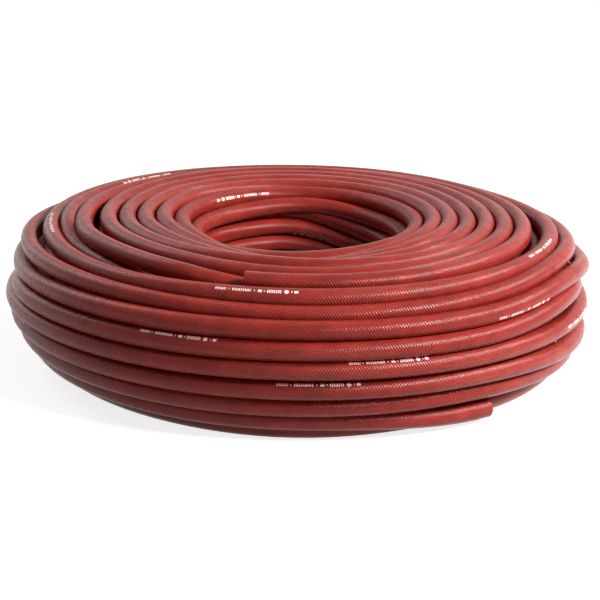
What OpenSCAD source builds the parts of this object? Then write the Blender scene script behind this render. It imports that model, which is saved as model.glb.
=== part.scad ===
// Coil of reinforced rubber gas tubing, lying flat.
// Z is the coil's axis and the floor is z = 0. Angles run anticlockwise from +X, seen from above.

/* [Hose] */
// Outside diameter of the hose
hose_od = 12; // [10:0.5:13]
// Bore of the hose
bore_d = 8; // [4:0.5:8]

/* [Coil] */
// Diameter of the coil over its widest turns
coil_od = 394; // [360:2:430]
// Clear diameter of the eye at its narrowest turns
eye_d = 132; // [110:2:160]
// Height of the coil at its crown
coil_h = 98; // [90:1:110]
// Gap from turn to turn over the outside of the coil
turn_gap = 0.4; // [0.2:0.1:0.6]
// Extra room between the turn that has the inner end and the next one out
groove = 3; // [2:0.5:4]
// How far the hose is squashed flat where it rests on the floor
flat_spot = 0.4; // [0.2:0.05:0.6]

/* [Section of the coil] */
// Radius at which the turns pile highest
crown_r = 124; // [116:1:132]
// Height of the widest turns above the floor
belly_z = 53.5; // [50:0.5:58]
// Fullness of the outer shoulder, 2 is an ellipse and more is squarer
outer_shoulder = 2.9; // [2.4:0.1:3.4]
// Fullness of the outer foot
outer_foot = 2; // [1.9:0.1:2.4]
// Fullness of the inner shoulder
inner_shoulder = 5; // [4:0.5:6]
// Fullness of the inner foot
inner_foot = 4; // [3:0.5:5]
// How far the round foot would reach below the floor that the turns lie flat on
foot_sink = 12; // [9:0.5:14]

/* [Outer end, on the floor outside] */
// Angle of the cut face
outer_end_at = -48; // [-70:1:-30]
// Length that springs straight
outer_end_len = 34; // [20:1:50]
// Angle round the coil from the cut face to where the same turn comes out again
outer_gap = 118; // [90:1:150]

/* [Inner end, on top of the coil] */
// Angle of the cut face
inner_end_at = -103; // [-130:1:-80]
// Length that lies straight
inner_end_len = 20; // [14:1:24]
// Radius near which it lies, on the nearest turn
inner_end_r = 150; // [144:1:156]
// Room under it
bed = 1.5; // [1:0.25:3]
// Angle round the coil from the cut face back to where the same turn starts to dive
inner_gap = 24; // [20:1:26]

/* [Where a turn dives or tucks in] */
// Bend radius of the turn that dives under the inner end
dive_bend = 90; // [80:1:100]
// Slope of the plane in which it dives
dive_slope = 68; // [60:1:72]
// Angle through which it bends before it is out of sight
dive_angle = 42; // [38:1:46]
// Bend radius of the turn that tucks into the foot
tuck_bend = 110; // [90:1:120]
// Slope of the plane in which it rises from the floor
tuck_slope = 25; // [20:1:32]
// Angle through which it bends before it is out of sight
tuck_angle = 45; // [40:1:48]
// Angle of each of these bends that lies inside the turn that it joins
lap = 1; // [0.5:0.25:1.5]

/* [Hidden] */
$fn = 48;
rubber = [0.55, 0.17, 0.14];

hose_r = hose_od / 2;
clear = 0.1;
tucked_od = hose_od - clear;
floor_z = hose_r - flat_spot;
r_out = coil_od / 2 - hose_r;
r_in = eye_d / 2 + hose_r;
z_top = coil_h - hose_r;

// Outline through the centres of the outermost turns: four quarters of a superellipse, flat on the floor
function signed_pow(v, p) = sign(v) * pow(abs(v), p);
function fullness(c, s) =
    c >= 0 ? (s >= 0 ? outer_shoulder : outer_foot) : (s >= 0 ? inner_shoulder : inner_foot);
function outline(a) =
    let (
        c = cos(a),
        s = sin(a),
        p = 2 / fullness(c, s),
        half_w = c >= 0 ? r_out - crown_r : crown_r - r_in,
        half_h = s >= 0 ? z_top - belly_z : belly_z - floor_z + foot_sink
    )
    [crown_r + half_w * signed_pow(c, p), max(floor_z, belly_z + half_h * signed_pow(s, p))];

// Turns at equal steps along the outline, from the inner wall over the top, down the outside and back
steps = 720;
walk = [for (i = [0:steps]) outline(180 - i * 360 / steps)];
lengths = [
    for (i = 0, sum = 0; i <= steps; i = i + 1, sum = sum + (i <= steps ? norm(walk[i] - walk[i - 1]) : 0)) sum
];
girth = lengths[steps];
turn_count = round((girth - groove) / (hose_od + turn_gap));
pitch = (girth - groove) / turn_count;
function along(s) =
    let (i = len([for (l = lengths) if (l <= s) l]) - 1)
    walk[i] + (walk[i + 1] - walk[i]) * (s - lengths[i]) / (lengths[i + 1] - lengths[i]);
top_turn = len([for (k = [0:turn_count / 2]) if (along(pitch * k)[0] < inner_end_r - hose_r) k]);
turns = [for (k = [0:turn_count - 1]) along(pitch * k + (k > top_turn ? groove : 0))];

// The two turns that have a free end, and where they lie
foot_turn = max([for (k = [0:turn_count - 1]) if (turns[k][0] > crown_r && turns[k][1] > hose_od) k]);
top_at = turns[top_turn];
foot_at = [turns[foot_turn + 1][0] + hose_od + clear, hose_r];
top_step = inner_end_len / top_at[0] * 180 / PI;
foot_step = outer_end_len / foot_at[0] * 180 / PI;

// Points this far in from the turns beside turn k, where a hollow or a backing bottoms out
function ends(k) = k == top_turn || k == foot_turn;
function inward(k, depth) =
    let (a = turns[k - 1], b = turns[k + 1], along_gap = (b - a) / norm(b - a))
    (a + b) / 2 + [along_gap[1], -along_gap[0]] * depth;

module hose_section() {
    circle(d = hose_od);
}

// The whole turns, with a hollow all round where the two turns that end lie
module whole_turns() {
    rotate_extrude($fn = 96) difference() {
        union() {
            polygon([for (k = [turn_count - 1:-1:0]) ends(k) ? inward(k, hose_r + bed) : turns[k]]);
            for (k = [0:turn_count - 1]) {
                if (!ends(k)) translate(turns[k]) hose_section();
            }
        }
        translate([0, -hose_od]) square([coil_od, hose_od]);
    }
}

// Part of turn k round the coil, backed down into the turns under it
module part_turn(k, at, from, to) {
    rotate([0, 0, from]) rotate_extrude(angle = to - from, $fn = 96) {
        translate(at) hose_section();
        polygon([at, turns[k - 1], inward(k, hose_od), turns[k + 1]]);
    }
}

top_from = inner_end_at - inner_gap;
top_to = inner_end_at + top_step;
foot_from = outer_end_at - foot_step;
foot_to = outer_end_at + outer_gap;

// The turn that dives under the inner end, bending down as it follows the coil round
module dive() {
    rotate([0, 0, top_from]) translate([top_at[0], 0, top_at[1]])
        rotate([0, -dive_slope, 0]) translate([-dive_bend, 0, 0])
            rotate([0, 0, -lap]) rotate_extrude(angle = dive_angle + lap, $fn = 96)
                translate([dive_bend, 0]) circle(d = tucked_od);
}

// The turn that tucks into the coil's foot, bending inwards more sharply than the coil
module tuck() {
    rotate([0, 0, foot_to]) translate([foot_at[0], 0, foot_at[1]])
        rotate([0, tuck_slope, 0]) translate([-tuck_bend, 0, 0])
            rotate([0, 0, -tuck_angle]) rotate_extrude(angle = tuck_angle + lap, $fn = 96)
                translate([tuck_bend, 0]) circle(d = tucked_od);
}

module coil() {
    color(rubber) union() {
        whole_turns();
        part_turn(top_turn, top_at, top_to, top_from + 360);
        part_turn(foot_turn, foot_at, foot_to, foot_from + 360);
        dive();
        tuck();
    }
}

module tube(length) {
    difference() {
        cylinder(d = hose_od, h = length);
        translate([0, 0, -hose_r]) cylinder(d = bore_d, h = length + hose_od);
    }
}

// Each end starts on the face of the turn that it continues
module outer_end() {
    color(rubber) rotate([0, 0, foot_from]) translate([foot_at[0], 0, foot_at[1]])
        rotate([-90, 0, 0]) tube(outer_end_len);
}
module inner_end() {
    color(rubber) rotate([0, 0, top_to]) translate([top_at[0], 0, top_at[1]])
        rotate([90, 0, 0]) tube(inner_end_len);
}

coil();
outer_end();
inner_end();
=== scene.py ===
import math

import bpy
import numpy as np
from mathutils import Matrix, Vector
from mathutils.bvhtree import BVHTree


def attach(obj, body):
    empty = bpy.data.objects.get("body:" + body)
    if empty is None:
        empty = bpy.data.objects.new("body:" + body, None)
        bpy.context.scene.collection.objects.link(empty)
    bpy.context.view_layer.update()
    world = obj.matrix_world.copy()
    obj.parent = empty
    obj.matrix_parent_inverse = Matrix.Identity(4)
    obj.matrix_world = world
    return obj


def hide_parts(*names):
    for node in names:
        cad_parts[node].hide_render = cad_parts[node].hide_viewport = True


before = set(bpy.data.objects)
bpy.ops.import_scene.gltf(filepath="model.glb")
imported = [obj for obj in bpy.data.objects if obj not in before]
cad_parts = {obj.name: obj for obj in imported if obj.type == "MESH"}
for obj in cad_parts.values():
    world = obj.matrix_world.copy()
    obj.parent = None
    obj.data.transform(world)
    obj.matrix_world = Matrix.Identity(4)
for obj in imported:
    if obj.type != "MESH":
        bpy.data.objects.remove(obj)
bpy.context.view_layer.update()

# One length of rubber hose, wound into a coil that lies flat, with one free end on top and one on the
# floor. Sizes and places are in millimetres, as in the CAD model, and MM makes them metres. Azimuths
# are in degrees, anticlockwise from +X as seen from above
MM = 0.001
MM_PER_M = 1000.0

# Hose, and the length of bore that is modelled at each end
HOSE_OD = 12.0
HOSE_R = HOSE_OD / 2
BORE_R = 4.0
BORE_SHOWN = 18.0
SIDES = 14

# Camera, fitted to the rings of the coil in the photograph
FRAME_PX = 600
CAMERA_ELEVATION = 14.6
CAMERA_DISTANCE = 1080.0
CAMERA_PIVOT_Z = 85.2
CAMERA_FOCAL_PX = 1588.0
PIVOT_SEEN_AT = (298.1, 226.5)
CAMERA_ROLL = 1.1

# Outline through the centres of the outermost turns, four quarters of a superellipse, flat on the floor
COIL_OD = 394.0
EYE_D = 132.0
COIL_H = 98.0
FLAT_SPOT = 0.4
CROWN_R = 124.0
BELLY_Z = 53.5
FOOT_SINK = 12.0
OUTER_SHOULDER = 2.9
OUTER_FOOT = 2.0
INNER_SHOULDER = 5.0
INNER_FOOT = 4.0
FLOOR_Z = HOSE_R - FLAT_SPOT
OUTLINE_POINTS = 1441

# Slots for turns along that outline: slot 0 is the rim of the eye, and they run over the top, down
# the outside, along the floor and up the inner wall, with a wider step outside the end on top
SLOTS = 29
TOP_SLOT = 6
FOOT_SLOT = 15
WALL_SLOTS = 3
GROOVE = 3.0

# The two free ends, and the part of a turn in which the one on the floor leaves its slot
TOP_END_AZ = -101.5
FLOOR_END_AZ = -46.5
FLOOR_END_AT = (178.5, 8.0)
SETTLING = 0.1

# The winding is worked out at equal steps round the coil, the first at the end on top
STEPS = 96


def smooth(x):
    """Goes from 0 at 0 to 1 at 1 with an easy start and end, and stays there outside them."""
    x = np.clip(x, 0.0, 1.0)
    return x * x * (3.0 - 2.0 * x)


def signed_power(value, power):
    return np.sign(value) * np.abs(value) ** power


def length_along(points):
    """Length of the path through some points, up to each of them."""
    return np.concatenate([[0.0], np.cumsum(np.linalg.norm(np.diff(points, axis=0), axis=1))])


def outline(angle, inset):
    """Radius and height on the outline at an angle in degrees, for a layer that lies this far inside."""
    c = np.cos(np.radians(angle))
    s = np.sin(np.radians(angle))
    outer = np.where(s >= 0, OUTER_SHOULDER, OUTER_FOOT)
    inner = np.where(s >= 0, INNER_SHOULDER, INNER_FOOT)
    power = 2.0 / np.where(c >= 0, outer, inner)
    half_w = np.where(c >= 0, COIL_OD / 2 - HOSE_R - CROWN_R, CROWN_R - EYE_D / 2 - HOSE_R) - inset
    half_h = np.where(s >= 0, COIL_H - HOSE_R - BELLY_Z, BELLY_Z - FLOOR_Z + FOOT_SINK) - inset
    r = CROWN_R + half_w * signed_power(c, power)
    z = np.maximum(FLOOR_Z + inset, BELLY_Z + half_h * signed_power(s, power))
    return np.stack([r, z], axis=-1)


OUTLINE_ANGLES = np.linspace(180.0, -180.0, OUTLINE_POINTS)
WALKED = length_along(outline(OUTLINE_ANGLES, 0.0))
GIRTH = WALKED[-1]
PITCH = (GIRTH - GROOVE) / SLOTS


def slot_place(slot, inset):
    """Radius and height of a slot, which may be part of the way to the next one."""
    slot = np.mod(slot, SLOTS)
    walked = PITCH * (slot + WALL_SLOTS) + GROOVE * np.clip(slot - TOP_SLOT, 0.0, 1.0)
    return outline(np.interp(walked % GIRTH, WALKED, OUTLINE_ANGLES), inset)


def step_of(azimuth):
    """How far round the coil an azimuth is from the end on top, as a share of a turn."""
    return ((azimuth - TOP_END_AZ) % 360.0) / 360.0


# Course of the hose. A time is counted in turns from the end on top. Where turns show, each one shifts
# to the next slot, in this part of a turn and about this azimuth, on the wall, at the back or at the front
SHIFT = 110.0 / 360.0
WALL_SHIFT = 70.0 / 360.0
WALL_AZ = 66.0
BACK_AZ = 90.0
FRONT_AZ = 265.0
# The first turn dives from one azimuth to the other, moving outwards by part of a slot
FIRST_DIVE = (190.0, 217.0)
DIVE_DRIFT = 0.2
# Hidden turns lie this much of a slot back from those that show, and a layer is this far inside the last
HIDDEN_BACK = 0.4
LAYER = 11.6
# Hidden turns before the foot, where they come out between these azimuths
UNDER_TURNS = 9
FOOT_OUT = (95.0, 150.0)
# The last turn on top leaves its slot, reaches the one under the end on top, and starts to dive
LAST_DIVE = (178.0, 236.0, 242.0)
# Turns of the first and second hidden layer, and the azimuth where one layer changes to the next
FIRST_LAYER_TURNS = 11
SECOND_LAYER_TURNS = 5
LAYER_AZ = 270.0
# The turn that comes up through the middle and out, beside the first turn
OUT_TURN = 52
RISE_AZ = 60.0
TOP_OUT = (55.0, 105.0)
# Where the last shift to a lower slot is over
FOOT_REACHED_AZ = 215.0


def course():
    """The events of the course, as rows of time, slot, and how many layers the hose lies inside."""
    events = []

    def to(turn, azimuth, slot, layers):
        events.append((turn + step_of(azimuth), slot, layers))

    def shift(middle, slot, width=SHIFT):
        events.append((middle - width / 2, slot, 0))
        events.append((middle + width / 2, slot + 1, 0))

    # The first turn lies on top and dives beside its own end
    to(0, TOP_END_AZ, TOP_SLOT, 0)
    to(0, FIRST_DIVE[0], TOP_SLOT, 0)
    to(0, FIRST_DIVE[1], TOP_SLOT + DIVE_DRIFT, 1)
    # Hidden turns, out under the shoulder and down to the foot
    to(UNDER_TURNS, FOOT_OUT[0], FOOT_SLOT - HIDDEN_BACK, 1)
    to(UNDER_TURNS, FOOT_OUT[1], FOOT_SLOT, 0)
    # In along the floor and up the inner wall, a slot a turn
    foot_turn = UNDER_TURNS + 1
    passes = SLOTS - FOOT_SLOT
    for k in range(passes - 1):
        shift(foot_turn + k + step_of(WALL_AZ), FOOT_SLOT + k, WALL_SHIFT)
    # Onto the rim and out over the top. From WALL_AZ to FRONT_AZ the last two turns before it share a slot
    rim_turn = foot_turn + passes
    for k in range(TOP_SLOT):
        shift(rim_turn + k + step_of(FRONT_AZ), SLOTS - 1 + k)
    # Down under the end on top
    last_turn = rim_turn + TOP_SLOT - 1
    to(last_turn, LAST_DIVE[0], SLOTS + TOP_SLOT - 1, 0)
    to(last_turn, LAST_DIVE[1], SLOTS + TOP_SLOT, 0)
    to(last_turn, LAST_DIVE[2], SLOTS + TOP_SLOT, 0)
    # Hidden turns, round the inside in three layers
    first_turn = last_turn + 1
    second_turn = first_turn + FIRST_LAYER_TURNS + 1
    third_turn = second_turn + SECOND_LAYER_TURNS + 1
    to(first_turn, LAYER_AZ, SLOTS + TOP_SLOT - HIDDEN_BACK, 1)
    to(second_turn - 1, LAYER_AZ, FOOT_SLOT + 1, 1)
    to(second_turn, LAYER_AZ, FOOT_SLOT, 2)
    to(third_turn - 1, LAYER_AZ, TOP_SLOT + 1, 2)
    to(third_turn, LAYER_AZ, TOP_SLOT, 3)
    # Up through the middle, and out at the back beside the first turn
    to(OUT_TURN - 1, RISE_AZ, -TOP_SLOT, 3)
    to(OUT_TURN, TOP_OUT[0], TOP_SLOT + 1 - HIDDEN_BACK, 1)
    to(OUT_TURN, TOP_OUT[1], TOP_SLOT + 1, 0)
    # Down the outside, a slot a turn, to the free end on the floor
    drops = FOOT_SLOT - TOP_SLOT - 2
    for k in range(drops):
        shift(OUT_TURN + 1 + k + step_of(BACK_AZ), TOP_SLOT + 1 + k)
    to(OUT_TURN + drops, FOOT_REACHED_AZ, FOOT_SLOT - 1, 0)
    to(OUT_TURN + drops + 1, FLOOR_END_AZ, FOOT_SLOT - 1, 0)
    return np.array(events)


# Where turns lie out of their slots, as first and last slot, middle and half width in azimuth,
# and how far out and up they lie. A stray fades out over this much of a slot beside its own
STRAYS = (
    (0, 4, 180, 85, -1.6, 0.0),
    (5, 5, 180, 50, 2.4, 0.0),
    (7, 7, 180, 70, -4.0, 0.0),
    (2, 6, 0, 75, -3.0, 0.0),
    (8, 10, 150, 34, -4.5, -1.5),
    (7, 9, 35, 36, -3.0, -1.0),
    (9, 9, 185, 40, -3.0, -5.0),
    (10, 10, 180, 28, -8.0, -3.0),
    (11, 11, 180, 38, 0.0, -3.0),
    (0.5, 0.5, -90, 75, 2.0, -10.0),
    (1.5, 1.5, -90, 70, 1.0, -7.5),
    (2.5, 2.5, -90, 60, 0.5, -5.0),
    (3.5, 3.5, -90, 60, 0.0, 0.4),
    (4.5, 4.5, -90, 60, 0.0, -2.2),
    (28.1, 29, -90, 75, 2.0, -3.0),
    (0, 0, -90, 75, 2.0, -3.0),
    (9, 9, -90, 60, 0.0, 0.6),
    (10, 11, -90, 70, 0.0, 1.3),
    (11, 12, -90, 70, 0.0, 1.2),
    (14, 14, -90, 60, 0.8, -1.5),
    (15, 16, -90, 60, 1.2, 0.0),
    (6, 6, 221, 46, -6.5, 1.0),
    (7, 7, -85, 60, 2.5, -1.0),
    (7, 7, 225, 40, 0.5, -1.8),
    (8, 8, -85, 60, -3.0, -2.5),
    (8, 8, -23, 25, 0.0, 4.0),
    (9, 9, -24, 27, 0.0, 5.5),
    (10, 10, -25, 27, 0.0, 6.0),
    (11, 11, -24, 24, 0.0, 0.8),
    (9, 9, 4, 37, 3.5, -6.0),
    (10, 10, 5, 40, -8.0, -4.0),
    (11, 11, -5, 45, 0.6, -3.0),
    (12, 12, -8, 50, 2.5, -9.0),
    (13, 13, -8, 55, 1.4, -8.0),
    (15, 16, -10, 50, 8.5, 0.0),
    (15, 16, -90, 35, 2.8, 0.0),
    (15, 16, -143, 30, -1.7, 0.0),
    (5, 9, 90, 115, -2.0, -2.2),
    (26, 29, 90, 50, 0.0, 2.0),
)
STRAY_FADE = 0.9


def strays(slots, azimuth):
    """How far out and up the hose lies from its slot."""
    slots = np.mod(slots, SLOTS)
    move = np.zeros((len(slots), 2))
    for first, last, middle, half, out, up in STRAYS:
        away = np.abs((azimuth - middle + 180.0) % 360.0 - 180.0)
        beside = np.maximum(0.0, np.maximum(first - slots, slots - last))
        share = smooth(1.0 - away / half) * smooth(1.0 - beside / STRAY_FADE)
        move += share[:, None] * np.array([out, up])
    return move


def winding():
    """Radius and height that the hose makes for at each step, and how many layers it lies inside.

    It moves smoothly from event to event, and at a steady rate while it is hidden.
    """
    events = course()
    times = np.arange(int(events[-1, 0] * STEPS) + 1) / STEPS
    before = np.clip(np.searchsorted(events[:, 0], times, side="right") - 1, 0, len(events) - 2)
    start, slot, layers = events[before].T
    end, next_slot, next_layers = events[before + 1].T
    steady = (times - start) / (end - start)
    share = np.where(layers * next_layers > 0, steady, smooth(steady))
    slots = slot + share * (next_slot - slot)
    depth = layers + share * (next_layers - layers)
    want = slot_place(slots, LAYER * depth)
    want += strays(slots, TOP_END_AZ + times * 360.0) * np.clip(1.0 - depth, 0.0, 1.0)[:, None]
    settled = smooth((times - times[-1] + SETTLING) / SETTLING)[:, None]
    want += settled * (np.array(FLOOR_END_AT) - want)
    return times, want, depth


# Rounds of pressing turns apart. In each one a pair that overlaps is pushed apart by a share of its
# overlap, the hose is smoothed a few times, and it is drawn back by a share towards where it makes for
PRESSES = 150
PUSH = 0.6
SMOOTHINGS = 3
SMOOTHING = 0.22
SHOWN_HOLD = 0.30
HIDDEN_HOLD = 0.004
# A turn that shows gives way by this much of what a hidden one does, which has this much room round it
SHOWN_GIVE = 0.15
HIDDEN_ROOM = 0.3
# Layers inside up to which a turn counts as one that shows, and the room left to the coil's box
SHOWN_DEPTH = 0.02
SIDE_ROOM = 0.2
TOP_ROOM = 0.1
# Added so that nothing is divided by zero
TINY_SQUARE = 1e-6
TINY = 1e-9


def pressed_apart(want, depth):
    """Presses turns that overlap apart in each half-plane through the axis, and keeps the hose smooth."""
    turns = len(want) // STEPS + 1
    spare = turns * STEPS - len(want)

    def by_step(values):
        return np.pad(values, (0, spare)).reshape(turns, STEPS).T

    shown = np.abs(depth) < SHOWN_DEPTH
    hold = np.where(shown, SHOWN_HOLD, HIDDEN_HOLD)[:, None]
    give = by_step(np.where(shown, SHOWN_GIVE, 1.0))
    there = by_step(np.ones(len(want), bool))
    pair = there[:, :, None] & there[:, None, :] & ~np.eye(turns, dtype=bool)
    both_shown = (give[:, :, None] < 1) & (give[:, None, :] < 1)
    apart = np.where(both_shown, HOSE_OD, HOSE_OD + HIDDEN_ROOM)
    share = give[:, :, None] / (give[:, :, None] + give[:, None, :] + TINY)
    at = want.copy()
    for _ in range(PRESSES):
        grid = np.pad(at, ((0, spare), (0, 0))).reshape(turns, STEPS, 2).transpose(1, 0, 2)
        gap = grid[:, :, None, :] - grid[:, None, :, :]
        reach = np.sqrt(np.sum(gap ** 2, axis=-1) + TINY_SQUARE)
        bite = np.where(pair, np.maximum(0.0, apart - reach), 0.0)
        push = np.sum(gap / reach[..., None] * (PUSH * bite * share)[..., None], axis=2)
        at += push.transpose(1, 0, 2).reshape(-1, 2)[:len(want)]
        for _ in range(SMOOTHINGS):
            at[1:-1] += SMOOTHING * (at[2:] + at[:-2] - 2 * at[1:-1])
        at += hold * (want - at)
        at[:, 0] = np.minimum(at[:, 0], COIL_OD / 2 - HOSE_R - SIDE_ROOM)
        at[:, 1] = np.clip(at[:, 1], FLOOR_Z, COIL_H - HOSE_R - TOP_ROOM)
    return at


def hose_line():
    """Time of each step, and the point that the middle of the hose passes then, in metres."""
    times, want, depth = winding()
    r, z = pressed_apart(want, depth).T
    azimuth = np.radians(TOP_END_AZ + times * 360.0)
    return times, MM * np.stack([r * np.cos(azimuth), r * np.sin(azimuth), z], axis=1)


# Printed marks, by the pixel of the photograph where the middle of each one is seen
MARKS_SEEN_AT = (
    (256, 290.5), (177, 335.8), (319, 385), (390, 361.5), (146, 178), (241, 196), (323, 240.5),
    (50.5, 222), (46, 246), (543, 248), (527, 310), (580, 318),
)
# The side that isn't seen, between these azimuths, has a mark in each metre of hose, by metres along
# it, at this share of a turn up from level
BACK_MARKS_AZ = (20.0, 160.0)
FIRST_BACK_MARK = 0.5
BACK_MARK_EVERY = 1.0
BACK_MARK_TURN = 0.09
# The parts of a mark, as start and end along it, half height, and whether it is cut into fine bars
MARK_LENGTH = 47.6
MARK_PARTS = (
    (0.0, 6.5, 0.95, True),
    (7.7, 8.3, 0.5, False),
    (9.5, 21.0, 0.95, True),
    (22.4, 23.0, 0.5, False),
    (24.7, 27.0, 0.95, False),
    (28.2, 28.8, 0.5, False),
    (30.0, 38.0, 1.15, True),
    (43.7, 44.3, 0.5, False),
    (45.3, 47.6, 0.95, False),
)
MARK_DOT_AT = 41.0
MARK_DOT_R = 1.35
# Pitch of the fine bars, and the value of its sine wave above which the bar is printed
FINE_BAR = 1.25
FINE_BAR_EDGE = -0.35
# Room before and after a mark in its UV map, and the place there of what is in no mark
MARK_ROOM = 2.0
NO_MARK = -1000.0

# Corners of a face of the hose, as steps along it and round it, in the order that turns it outwards
CORNERS = ((0, 0), (1, 0), (1, 1), (0, 1))


def section_axes(line):
    """Two directions across the hose at each point: level outwards, and up."""
    ahead = np.gradient(line, axis=0)
    ahead /= np.linalg.norm(ahead, axis=1, keepdims=True)
    up = np.array([0.0, 0.0, 1.0]) - ahead * ahead[:, 2:3]
    up /= np.linalg.norm(up, axis=1, keepdims=True)
    return np.cross(ahead, up), up


def rings_round(line, radius, out, up):
    """A ring of points round each point of the line."""
    angle = np.arange(SIDES) / SIDES * 2 * math.pi
    across = np.cos(angle)[None, :, None] * out[:, None, :] + np.sin(angle)[None, :, None] * up[:, None, :]
    return line[:, None, :] + MM * radius * across


def rings_in_bore(along):
    """How many rings the bore has at each end."""
    return 2 + int(np.searchsorted(along, MM * BORE_SHOWN))


def ring_places(along):
    """Metres along the hose of every ring: out of one bore, along the outside, and into the other."""
    bore = rings_in_bore(along)
    return np.concatenate([along[:bore][::-1], along, along[-bore:][::-1]])


def make_hose(line, along):
    """The hose as one closed tube, flat on the floor, with its bore open for a short way at both ends."""
    out, up = section_axes(line)
    outside = rings_round(line, HOSE_R, out, up)
    outside[:, :, 2] = np.maximum(outside[:, :, 2], 0.0)
    bore = rings_in_bore(along)
    first = rings_round(line[:bore], BORE_R, out[:bore], up[:bore])[::-1]
    last = rings_round(line[-bore:], BORE_R, out[-bore:], up[-bore:])[::-1]
    rings = np.concatenate([first, outside, last])
    at = ring_places(along)
    count = len(rings)
    faces = []
    uvs = []
    for i in range(count - 1):
        for k in range(SIDES):
            faces.append([(i + step) * SIDES + (k + side) % SIDES for step, side in CORNERS])
            uvs += [(at[i + step], (k + side) / SIDES) for step, side in CORNERS]
    for ring, order in ((0, 1), (count - 1, -1)):
        faces.append(tuple(ring * SIDES + k for k in range(SIDES))[::order])
        uvs += [(at[ring], 0.5)] * SIDES

    mesh = bpy.data.meshes.new("hose")
    mesh.from_pydata(rings.reshape(-1, 3).tolist(), [], faces)
    layer = mesh.uv_layers.new(name="hose")
    layer.data.foreach_set("uv", np.asarray(uvs, dtype=np.float32).ravel())
    mesh.polygons.foreach_set("use_smooth", [True] * len(mesh.polygons))
    mesh.update()
    # The rims of both cut faces are sharp
    rims = {bore - 1, bore, bore + len(line) - 1, bore + len(line)}
    sharp = []
    for edge in mesh.edges:
        a, b = edge.vertices
        sharp.append(a // SIDES == b // SIDES and a // SIDES in rims)
    mesh.attributes.new("sharp_edge", "BOOLEAN", "EDGE").data.foreach_set("value", sharp)
    hose = bpy.data.objects.new("hose", mesh)
    bpy.context.scene.collection.objects.link(hose)
    return hose


def pixel_direction(px, py):
    """Direction from the camera, in its own axes, of a pixel of the frame."""
    half = FRAME_PX / 2
    return Vector((px - half, half - py, -CAMERA_FOCAL_PX)).normalized()


def mark_seen(eye, tree, line, along, px, py):
    """Place along the hose and angle round it, of the point of its surface that a pixel shows."""
    look = eye.matrix_world.to_3x3() @ pixel_direction(px, py)
    spot, _, face, _ = tree.ray_cast(eye.matrix_world.translation, look)
    if face is None:
        return None
    i = min(max(face // SIDES - rings_in_bore(along), 0), len(line) - 2)
    ahead = line[i + 1] - line[i]
    off = np.array(spot) - line[i]
    share = float(np.dot(off, ahead) / np.dot(ahead, ahead))
    off -= share * ahead
    out, up = section_axes(line[max(i - 1, 0):i + 3])
    j = min(i, 1)
    angle = math.atan2(np.dot(off, up[j]), np.dot(off, out[j]))
    return along[i] + share * (along[i + 1] - along[i]), angle


def marks_at_back(times, along):
    """Place along the hose and angle round it, of each mark on the side that isn't seen."""
    marks = []
    for place in np.arange(FIRST_BACK_MARK, along[-1], BACK_MARK_EVERY):
        azimuth = (TOP_END_AZ + times[np.searchsorted(along, place)] * 360.0) % 360.0
        if BACK_MARKS_AZ[0] < azimuth < BACK_MARKS_AZ[1]:
            marks.append((float(place), 2 * math.pi * BACK_MARK_TURN))
    return marks


def lay_marks(hose, eye, times, line, along):
    """Gives the hose its second UV map: millimetres along and across each printed mark."""
    mesh = hose.data
    tree = BVHTree.FromPolygons([v.co for v in mesh.vertices], [tuple(f.vertices) for f in mesh.polygons])
    marks = [mark_seen(eye, tree, line, along, px, py) for px, py in MARKS_SEEN_AT]
    marks = [mark for mark in marks if mark] + marks_at_back(times, along)
    at = MM_PER_M * ring_places(along)
    bore = rings_in_bore(along)
    one_side = 2 * math.pi * HOSE_R / SIDES
    local = np.full((len(at) - 1, SIDES, len(CORNERS), 2), NO_MARK)
    for middle, angle in marks:
        start = MM_PER_M * middle - MARK_LENGTH / 2
        near = (at[1:] > start - MARK_ROOM) & (at[:-1] < start + MARK_LENGTH + MARK_ROOM)
        near[:bore] = False
        near[bore + len(line) - 1:] = False
        rows = np.nonzero(near)[0]
        sides = (np.arange(SIDES) - angle / (2 * math.pi) * SIDES + SIDES / 2) % SIDES - SIDES / 2
        for corner, (step, side) in enumerate(CORNERS):
            local[rows, :, corner, 0] = (at[rows + step] - start)[:, None]
            local[rows, :, corner, 1] = (sides + side) * one_side
    ends = np.full((2 * SIDES, 2), NO_MARK)
    layer = mesh.uv_layers.new(name="marks")
    layer.data.foreach_set("uv", np.concatenate([local.reshape(-1, 2), ends]).astype(np.float32).ravel())


def camera():
    """Stands where the fitted camera stood, and shows the pivot where it is in the photograph."""
    tilt = math.radians(CAMERA_ELEVATION)
    pivot = MM * Vector((0.0, 0.0, CAMERA_PIVOT_Z))
    place = pivot + MM * CAMERA_DISTANCE * Vector((0.0, -math.cos(tilt), math.sin(tilt)))
    lens = bpy.data.cameras.new("camera")
    lens.sensor_fit = "HORIZONTAL"
    lens.angle = 2 * math.atan(FRAME_PX / 2 / CAMERA_FOCAL_PX)
    lens.clip_start = 0.05
    lens.clip_end = 20.0
    eye = bpy.data.objects.new("camera", lens)
    bpy.context.scene.collection.objects.link(eye)
    roll = Matrix.Rotation(math.radians(CAMERA_ROLL), 3, "Z")
    seen = roll @ pixel_direction(*PIVOT_SEEN_AT)
    level = math.atan2(-seen.x, -seen.z)
    pitch = math.pi / 2 - tilt - math.asin(seen.y)
    turn = Matrix.Rotation(-level, 3, "Z") @ Matrix.Rotation(pitch, 3, "X") @ roll
    eye.matrix_world = Matrix.Translation(place) @ turn.to_4x4()
    bpy.context.scene.camera = eye
    return eye


def principled(name):
    material = bpy.data.materials.new(name)
    material.use_nodes = True
    return material, material.node_tree, material.node_tree.nodes["Principled BSDF"]


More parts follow.
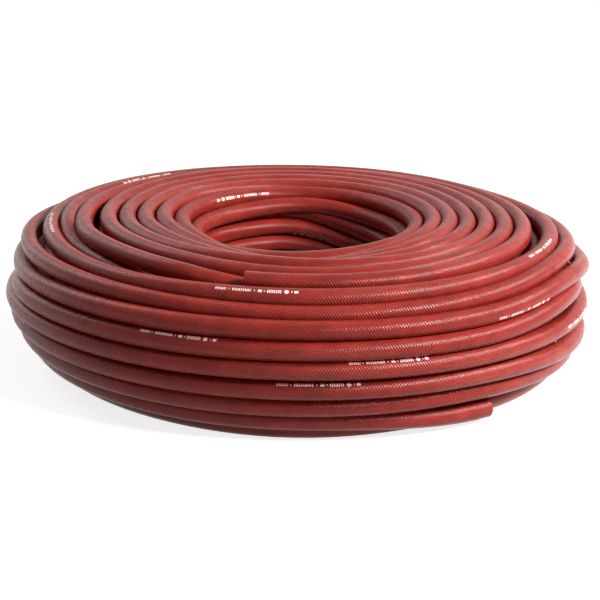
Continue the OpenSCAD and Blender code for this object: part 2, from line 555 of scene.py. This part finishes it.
class Nodes:
    """Adds nodes to a material. A source is a number, a colour or the socket of another node."""

    def __init__(self, tree):
        self.tree = tree

    def feed(self, socket, source):
        if isinstance(source, (int, float, tuple)):
            socket.default_value = source
        else:
            self.tree.links.new(source, socket)

    def math(self, operation, *sources):
        node = self.tree.nodes.new("ShaderNodeMath")
        node.operation = operation
        for socket, source in zip(node.inputs, sources):
            self.feed(socket, source)
        return node.outputs[0]

    def times(self, first, second):
        return self.math("MULTIPLY", first, second)

    def join(self, x, y, z):
        node = self.tree.nodes.new("ShaderNodeCombineXYZ")
        for socket, source in zip(node.inputs, (x, y, z)):
            self.feed(socket, source)
        return node.outputs[0]

    def uv(self, name):
        """The two sockets of a UV map."""
        node = self.tree.nodes.new("ShaderNodeUVMap")
        node.uv_map = name
        split = self.tree.nodes.new("ShaderNodeSeparateXYZ")
        self.feed(split.inputs[0], node.outputs[0])
        return split.outputs[0], split.outputs[1]

    def noise(self, vector, scale, detail=3.0, roughness=0.55):
        node = self.tree.nodes.new("ShaderNodeTexNoise")
        self.feed(node.inputs["Vector"], vector)
        node.inputs["Scale"].default_value = scale
        node.inputs["Detail"].default_value = detail
        node.inputs["Roughness"].default_value = roughness
        return node.outputs["Fac"]

    def between(self, source, low, high, to_low=0.0, to_high=1.0):
        """Takes low to to_low and high to to_high, and stays between them."""
        node = self.tree.nodes.new("ShaderNodeMapRange")
        self.feed(node.inputs["Value"], source)
        node.inputs["From Min"].default_value = low
        node.inputs["From Max"].default_value = high
        node.inputs["To Min"].default_value = to_low
        node.inputs["To Max"].default_value = to_high
        return node.outputs["Result"]

    def blend(self, share, first, second):
        """Mixes two colours. Sockets 6 and 7 of a Mix node are those of its colours."""
        node = self.tree.nodes.new("ShaderNodeMix")
        node.data_type = "RGBA"
        self.feed(node.inputs[0], share)
        self.feed(node.inputs[6], first)
        self.feed(node.inputs[7], second)
        return node.outputs[2]

    def bump(self, height, distance, below=None):
        """Bumps that stand this many millimetres proud, over those of the bump node below."""
        node = self.tree.nodes.new("ShaderNodeBump")
        self.feed(node.inputs["Height"], height)
        node.inputs["Distance"].default_value = MM * distance
        if below is not None:
            self.feed(node.inputs["Normal"], below)
        return node.outputs["Normal"]


# Rubber: its colours, and how glossy it is
RUBBER_RED = (0.26, 0.019, 0.012, 1)
# The dark colour serves both the darker mottled tone of the rubber and the painted shade between the ribs
RUBBER_DARK_AND_RIB_SHADE = (0.15, 0.012, 0.008, 1)
RUBBER_BLOOM = (0.40, 0.068, 0.052, 1)
MARK_WHITE = (0.90, 0.66, 0.63, 1)
RUBBER_SPECULAR = 0.16
SMOOTHEST = 0.16
ROUGHEST = 0.35
# Fine ribs run slantwise round the hose: their pitch along it, how many they gain in a turn round it,
# how high they stand, and how much painted shade darkens the colour between them
RIB_PITCH = 1.75
RIB_SLANT = 13
RIB_HEIGHT = 0.14
RIB_PAINTED_SHADE = 0.45
# Noise, by its scale. Drift and scuffs run lengthwise: the hose is shortened for them to this share,
# and its girth is laid round a circle of this radius in metres
GRAIN = 900.0
GRAIN_HEIGHT = 0.05
MOTTLE = 85.0
DRIFT = 22.0
SCUFFS = 420.0
SCUFF_HEIGHT = 0.12
LENGTHWISE = 0.35
ROUND = 0.02


def mark_mask(nodes):
    """1 where a printed mark lies: fine bars, plain bars and dots."""
    along, across = nodes.uv("marks")
    off = nodes.math("ABSOLUTE", across)
    wave = nodes.math("SINE", nodes.times(along, 2 * math.pi / FINE_BAR))
    bars = nodes.math("GREATER_THAN", wave, FINE_BAR_EDGE)
    mask = None
    for start, end, half, fine in MARK_PARTS:
        past = nodes.math("GREATER_THAN", along, start)
        short = nodes.math("LESS_THAN", along, end)
        low = nodes.math("LESS_THAN", off, half)
        here = nodes.times(nodes.times(past, short), low)
        if fine:
            here = nodes.times(here, bars)
        mask = here if mask is None else nodes.math("MAXIMUM", mask, here)
    from_dot = nodes.math("SUBTRACT", along, MARK_DOT_AT)
    square = nodes.math("ADD", nodes.math("POWER", from_dot, 2.0), nodes.math("POWER", across, 2.0))
    dot = nodes.math("LESS_THAN", nodes.math("SQRT", square), MARK_DOT_R)
    return nodes.math("MAXIMUM", mask, dot)


def rubber():
    """Brick-red rubber with fine slanted ribs, painted shade between them, mottling, a paler bloom, scuffs
    and printed marks.
    """
    material, tree, shader = principled("brick_red_rubber")
    nodes = Nodes(tree)
    place = tree.nodes.new("ShaderNodeTexCoord").outputs["Object"]
    along, turn = nodes.uv("hose")
    angle = nodes.times(turn, 2 * math.pi)
    round_x = nodes.times(nodes.math("COSINE", angle), ROUND)
    round_y = nodes.times(nodes.math("SINE", angle), ROUND)
    lengthwise = nodes.join(nodes.times(along, LENGTHWISE), round_x, round_y)

    ribs_along = nodes.times(along, 2 * math.pi / (MM * RIB_PITCH))
    ribs_round = nodes.times(turn, 2 * math.pi * RIB_SLANT)
    ribs = nodes.between(nodes.math("SINE", nodes.math("ADD", ribs_along, ribs_round)), -1.0, 1.0)
    grain = nodes.noise(place, GRAIN, 2.0)
    mottle = nodes.noise(place, MOTTLE, 5.0, 0.65)
    drift = nodes.noise(lengthwise, DRIFT)
    scuffs = nodes.noise(lengthwise, SCUFFS, 3.0, 0.65)

    red = nodes.blend(nodes.between(mottle, 0.35, 0.7), RUBBER_RED, RUBBER_DARK_AND_RIB_SHADE)
    bloom = nodes.times(nodes.between(drift, 0.45, 0.75), nodes.between(scuffs, 0.35, 0.7, 0.1, 0.7))
    red = nodes.blend(bloom, red, RUBBER_BLOOM)
    # Painted shade: the colour darkens between the ribs, where their own shade would fall
    red = nodes.blend(nodes.between(ribs, 0.0, 0.5, RIB_PAINTED_SHADE, 0.0), red, RUBBER_DARK_AND_RIB_SHADE)
    worn = nodes.between(grain, 0.3, 0.46, 0.55, 1.0)
    red = nodes.blend(nodes.times(mark_mask(nodes), worn), red, MARK_WHITE)
    tree.links.new(red, shader.inputs["Base Color"])

    rough = nodes.between(nodes.math("ADD", mottle, scuffs), 0.6, 1.4, SMOOTHEST, ROUGHEST)
    tree.links.new(rough, shader.inputs["Roughness"])
    shader.inputs["Specular IOR Level"].default_value = RUBBER_SPECULAR
    normal = nodes.bump(grain, GRAIN_HEIGHT)
    normal = nodes.bump(scuffs, SCUFF_HEIGHT, normal)
    normal = nodes.bump(ribs, RIB_HEIGHT, normal)
    tree.links.new(normal, shader.inputs["Normal"])
    return material


# Studio, in metres and watts: the floor lies just under the object, and each lamp is a name, a place,
# a power and the side of its square
FLOOR_SIZE = 8.0
FLOOR_DROP = 0.0002
FLOOR_GREY = (0.5, 0.5, 0.5, 1)
FLOOR_GLOW = 0.8
SKY_LIGHT = 0.2
WHITE = (1, 1, 1, 1)
LAMPS = (
    ("key", (1.3, -0.35, 1.0), 46, 0.35),
    ("front", (1.2, -1.0, 1.15), 18, 0.2),
    ("back", (-1.2, 0.9, 1.0), 9, 0.8),
)


def seen_directly(nodes):
    """1 for rays from the camera, a mirror or clear glass, and 0 for the light on the object."""
    path = nodes.tree.nodes.new("ShaderNodeLightPath")
    seen = nodes.math("ADD", path.outputs["Is Camera Ray"], path.outputs["Is Glossy Ray"])
    return nodes.math("MINIMUM", nodes.math("ADD", seen, path.outputs["Is Transmission Ray"]), 1.0)


def white_floor():
    """A plain white floor that keeps the object's shadow."""
    bpy.ops.object.select_all(action="DESELECT")
    bpy.ops.mesh.primitive_plane_add(size=FLOOR_SIZE, location=(0, 0, -FLOOR_DROP))
    floor = bpy.context.object
    floor.name = "floor"
    material, tree, shader = principled("white_floor")
    nodes = Nodes(tree)
    shader.inputs["Base Color"].default_value = FLOOR_GREY
    shader.inputs["Roughness"].default_value = 0.9
    shader.inputs["Specular IOR Level"].default_value = 0.0
    shader.inputs["Emission Color"].default_value = WHITE
    tree.links.new(nodes.times(seen_directly(nodes), FLOOR_GLOW), shader.inputs["Emission Strength"])
    floor.data.materials.append(material)


def white_background():
    """A background that is seen as white, and lights the object a little."""
    world = bpy.data.worlds.new("studio")
    bpy.context.scene.world = world
    world.use_nodes = True
    nodes = Nodes(world.node_tree)
    sky = world.node_tree.nodes["Background"]
    sky.inputs["Color"].default_value = WHITE
    strength = nodes.between(seen_directly(nodes), 0.0, 1.0, SKY_LIGHT, 1.0)
    world.node_tree.links.new(strength, sky.inputs["Strength"])


def lamps():
    """Soft lamps that point at the middle of the coil's foot."""
    for name, place, power, size in LAMPS:
        data = bpy.data.lights.new(name, "AREA")
        data.energy = power
        data.size = size
        lamp = bpy.data.objects.new(name, data)
        bpy.context.scene.collection.objects.link(lamp)
        lamp.location = place
        lamp.rotation_euler = (-Vector(place)).to_track_quat("-Z", "Y").to_euler()


times, line = hose_line()
along = length_along(line)
eye = camera()
hose = make_hose(line, along)
lay_marks(hose, eye, times, line, along)
hose.data.materials.append(rubber())
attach(hose, "root")
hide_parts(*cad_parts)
white_floor()
white_background()
lamps()
bpy.context.scene.view_settings.view_transform = "Standard"
